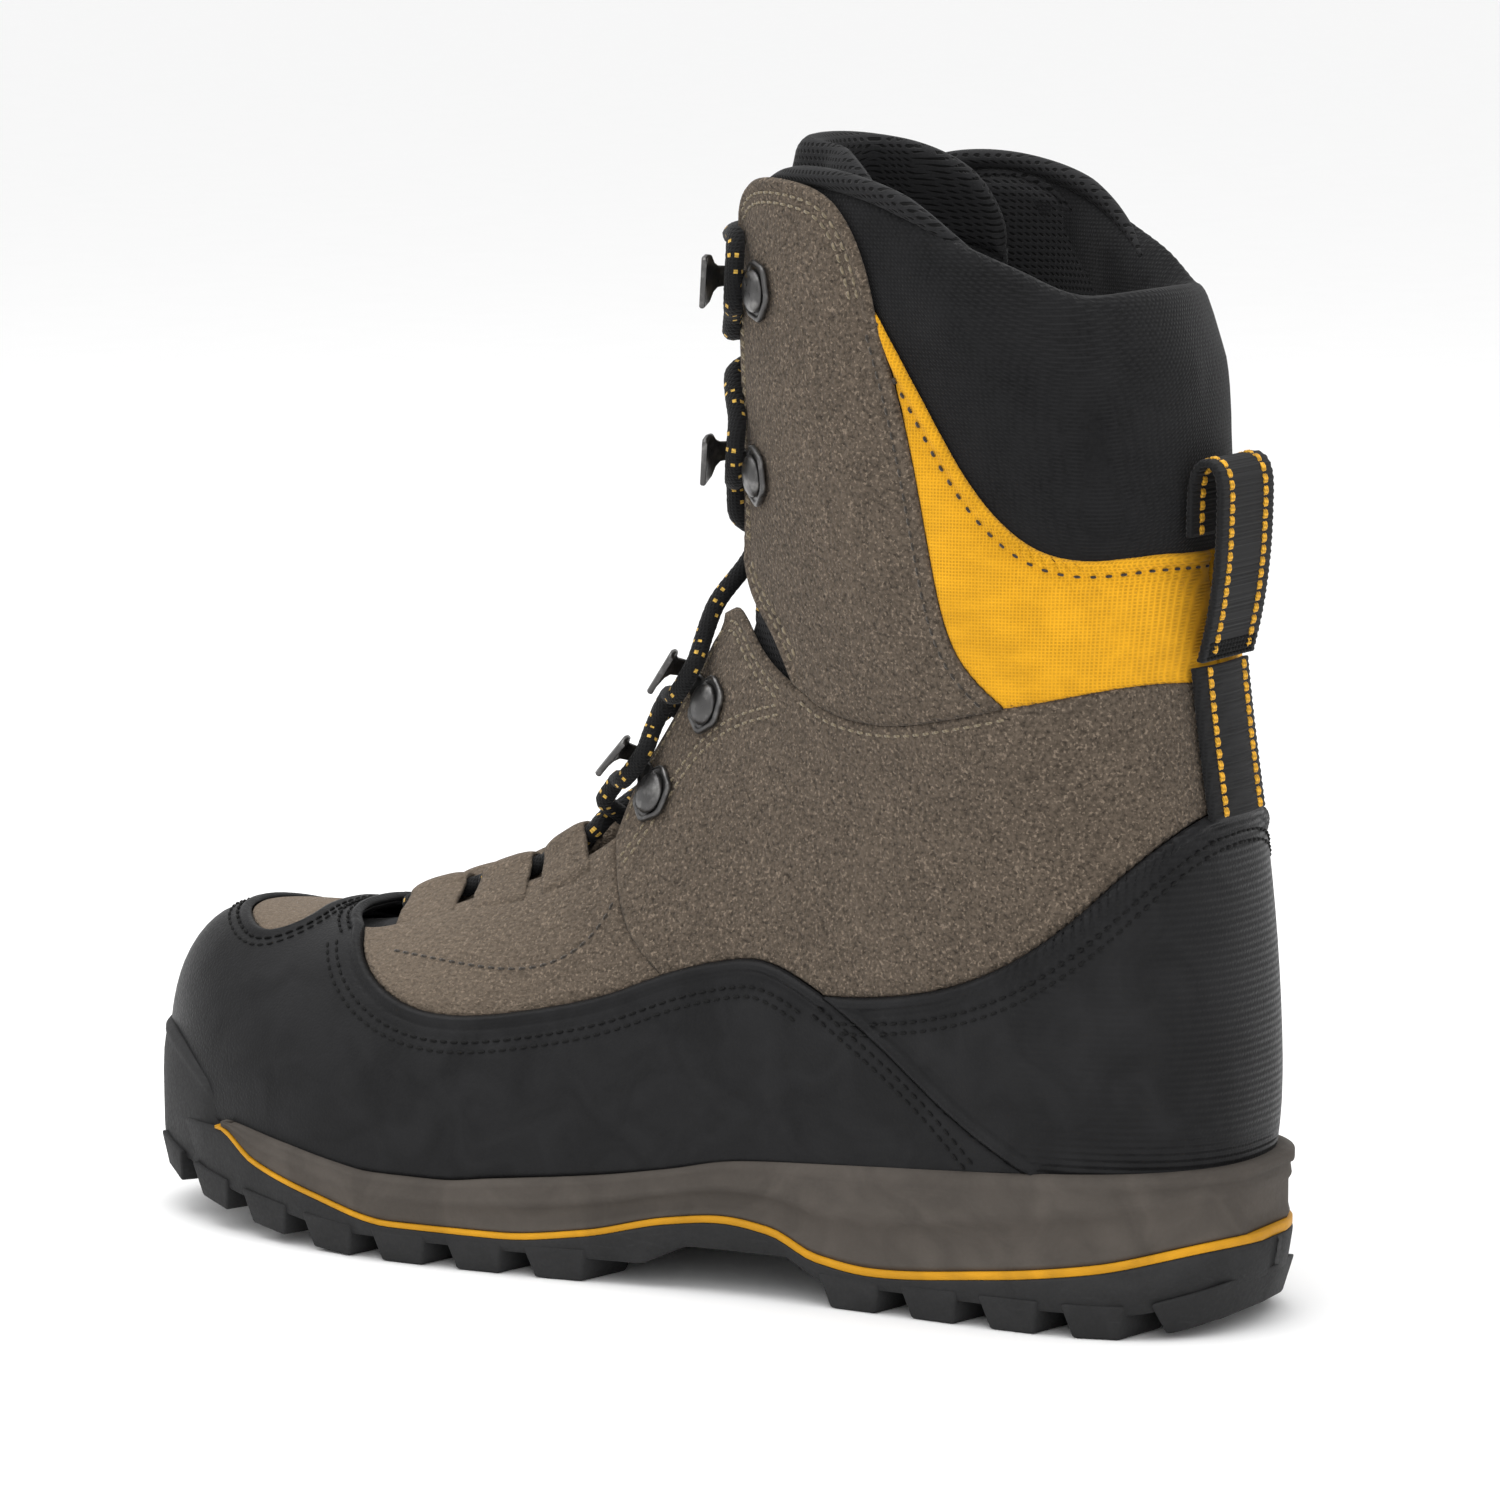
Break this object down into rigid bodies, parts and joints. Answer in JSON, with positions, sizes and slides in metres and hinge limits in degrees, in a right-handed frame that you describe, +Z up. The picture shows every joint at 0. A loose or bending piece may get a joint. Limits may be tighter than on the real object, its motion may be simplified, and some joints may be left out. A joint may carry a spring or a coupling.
{
  "type": "mountaineering boot",
  "caption": "High-shaft mountaineering boot for the right foot with a lugged sole, rubber rand, suede upper, padded collar, speed-hook lacing and a heel pull loop.",
  "frame": {"origin": "centre of the boot's bounding box, on the ground under the sole", "axes": "+Z up, -Y towards the toe, +Y towards the heel, +X towards the boot's inner (medial) side"},
  "size_m": [0.1066, 0.2964, 0.2638],
  "materials": {
    "rubber": "matt moulded sole rubber",
    "accent": "satin, warm yellow",
    "midsole": "matt foamed midsole, warm grey",
    "suede": "brushed suede with a short nap",
    "rand": "smooth satin rand rubber",
    "softshell": "fine knitted stretch fabric, black",
    "yellow": "woven stretch fabric, warm yellow",
    "mesh": "open black lining mesh",
    "foam": "soft padding foam with a fabric face",
    "board": "fibre board",
    "stiffener": "moulded thermoplastic",
    "gunmetal": "dark burnished metal",
    "webbing": "woven webbing, black",
    "lace": "round braided lace, black with yellow flecks",
    "aglet": "glossy"
  },
  "bodies": {
    "boot": {"outsole": "rubber", "accent_band": "accent", "midsole": "midsole", "shank": "stiffener", "toe_puff": "stiffener", "heel_counter": "stiffener", "insole_board": "board", "collar_foam": "foam", "front_rand": "rand", "heel_rand": "rand", "toe_patch": "suede", "forefoot_quarter_medial": "suede", "rear_quarter_medial": "suede", "cuff_medial": "suede", "yellow_panel_medial": "yellow", "gusset_medial": "mesh", "ankle_foam_medial": "foam", "lace_tunnel_medial_1": "suede", "lace_tunnel_medial_2": "suede", "lace_tunnel_medial_3": "suede", "hook_medial_1": "gunmetal", "rivet_medial_1": "gunmetal", "hook_medial_2": "gunmetal", "rivet_medial_2": "gunmetal", "hook_medial_3": "gunmetal", "rivet_medial_3": "gunmetal", "hook_medial_4": "gunmetal", "rivet_medial_4": "gunmetal", "forefoot_quarter_lateral": "suede", "rear_quarter_lateral": "suede", "cuff_lateral": "suede", "yellow_panel_lateral": "yellow", "gusset_lateral": "mesh", "ankle_foam_lateral": "foam", "lace_tunnel_lateral_1": "suede", "lace_tunnel_lateral_2": "suede", "lace_tunnel_lateral_3": "suede", "hook_lateral_1": "gunmetal", "rivet_lateral_1": "gunmetal", "hook_lateral_2": "gunmetal", "rivet_lateral_2": "gunmetal", "hook_lateral_3": "gunmetal", "rivet_lateral_3": "gunmetal", "hook_lateral_4": "gunmetal", "rivet_lateral_4": "gunmetal", "collar": "softshell", "lining": "mesh", "tongue": "mesh", "lace": "lace", "aglet_1": "aglet", "aglet_2": "aglet", "heel_strip": "webbing"},
    "footbed": {"footbed": "foam"},
    "pull_loop": {"pull_loop": "webbing"},
    "tongue_tip": {"tongue_tip": "mesh"}
  },
  "joints": [
    {"name": "footbed_lift", "type": "hinge", "parent": "boot", "child": "footbed", "pos_m": [0, -0.12999, 0.0309], "axis": [1, 0, 0], "range_deg": [0, 5]},
    {"name": "pull_loop_tilt", "type": "hinge", "parent": "boot", "child": "pull_loop", "pos_m": [0, 0.13211, 0.15], "axis": [1, 0, 0], "range_deg": [-25, 0]},
    {"name": "tongue_tip_fold", "type": "hinge", "parent": "boot", "child": "tongue_tip", "pos_m": [0, 0.02623, 0.24598], "axis": [1, 0, 0], "range_deg": [0, 15]}
  ]
}
